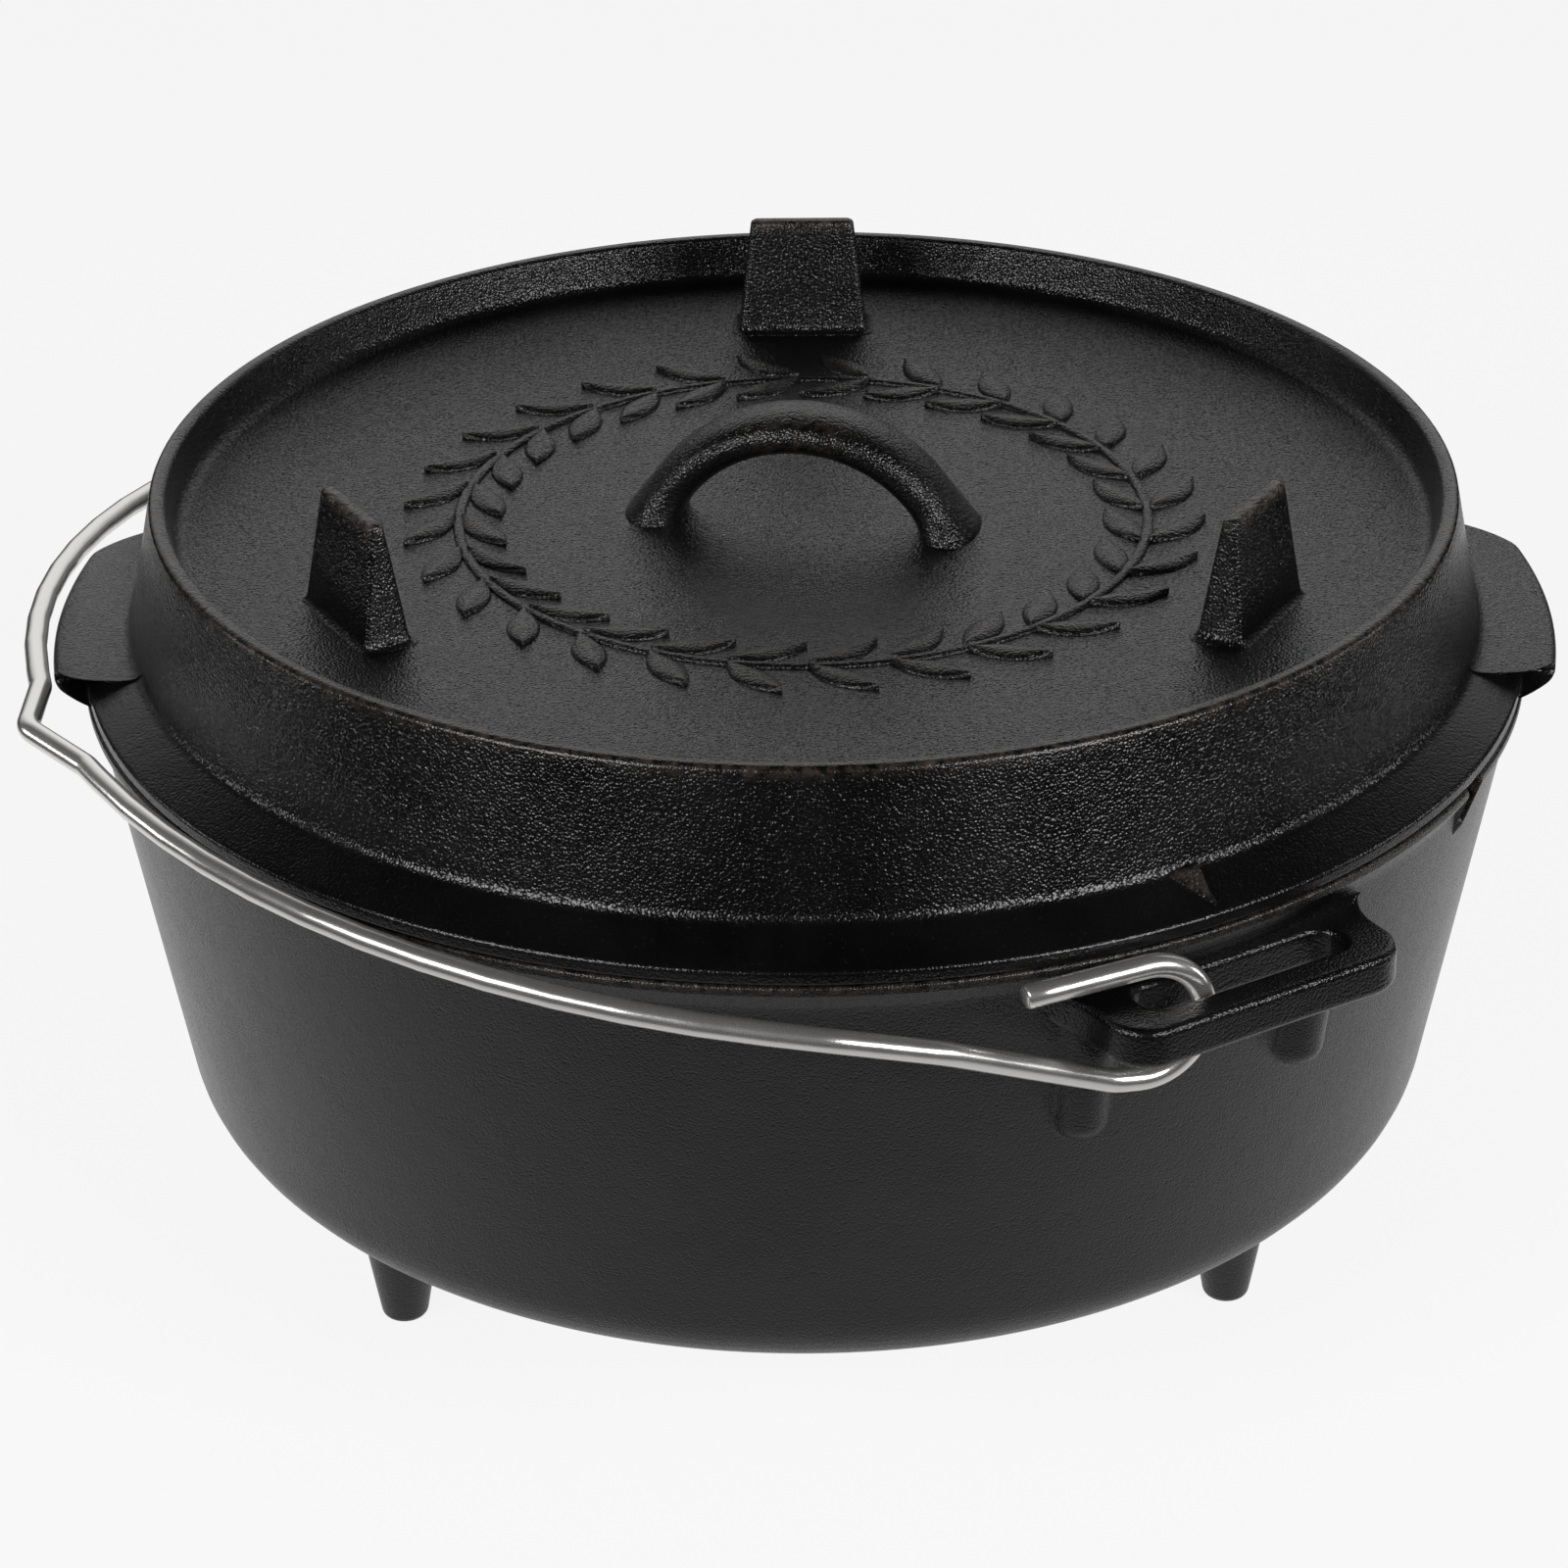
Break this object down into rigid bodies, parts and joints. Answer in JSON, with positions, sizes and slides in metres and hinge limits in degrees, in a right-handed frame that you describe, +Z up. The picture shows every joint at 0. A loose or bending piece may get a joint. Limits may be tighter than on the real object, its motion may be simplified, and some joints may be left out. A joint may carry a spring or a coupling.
{
  "type": "camp dutch oven",
  "caption": "Cast-iron camp oven on feet, with a dished flanged lid that stands on its own legs when turned over, slotted side ears and a swinging wire bail.",
  "frame": {"origin": "on the pot's axis, in the plane of the feet's ends", "axes": "+Z up along the pot's axis, X through the two ears, the bail folded towards -Y"},
  "size_m": [0.3516, 0.3352, 0.1998],
  "materials": {
    "pot_iron": "seasoned, fine pebbled casting skin, satin black",
    "lid_iron": "seasoned, fine pebbled casting skin, satin black",
    "bail_steel": "bright drawn wire"
  },
  "bodies": {
    "pot": {"pot": "pot_iron"},
    "lid": {"lid": "lid_iron"},
    "bail": {"bail_front_hook": "bail_steel", "bail_front_outer": "bail_steel", "bail_front_inner": "bail_steel", "bail": "bail_steel", "bail_rear_inner": "bail_steel", "bail_rear_outer": "bail_steel", "bail_rear_hook": "bail_steel"}
  },
  "joints": [
    {"name": "bail_swing", "type": "hinge", "parent": "pot", "child": "bail", "pos_m": [0, 0, 0.1317], "axis": [-0.9835, 0.1808, 0], "range_deg": [0, 165.98]},
    {"name": "lid_lift", "type": "slide", "parent": "pot", "child": "lid", "axis": [0, 0, 1], "range_m": [0, 0.15]}
  ]
}
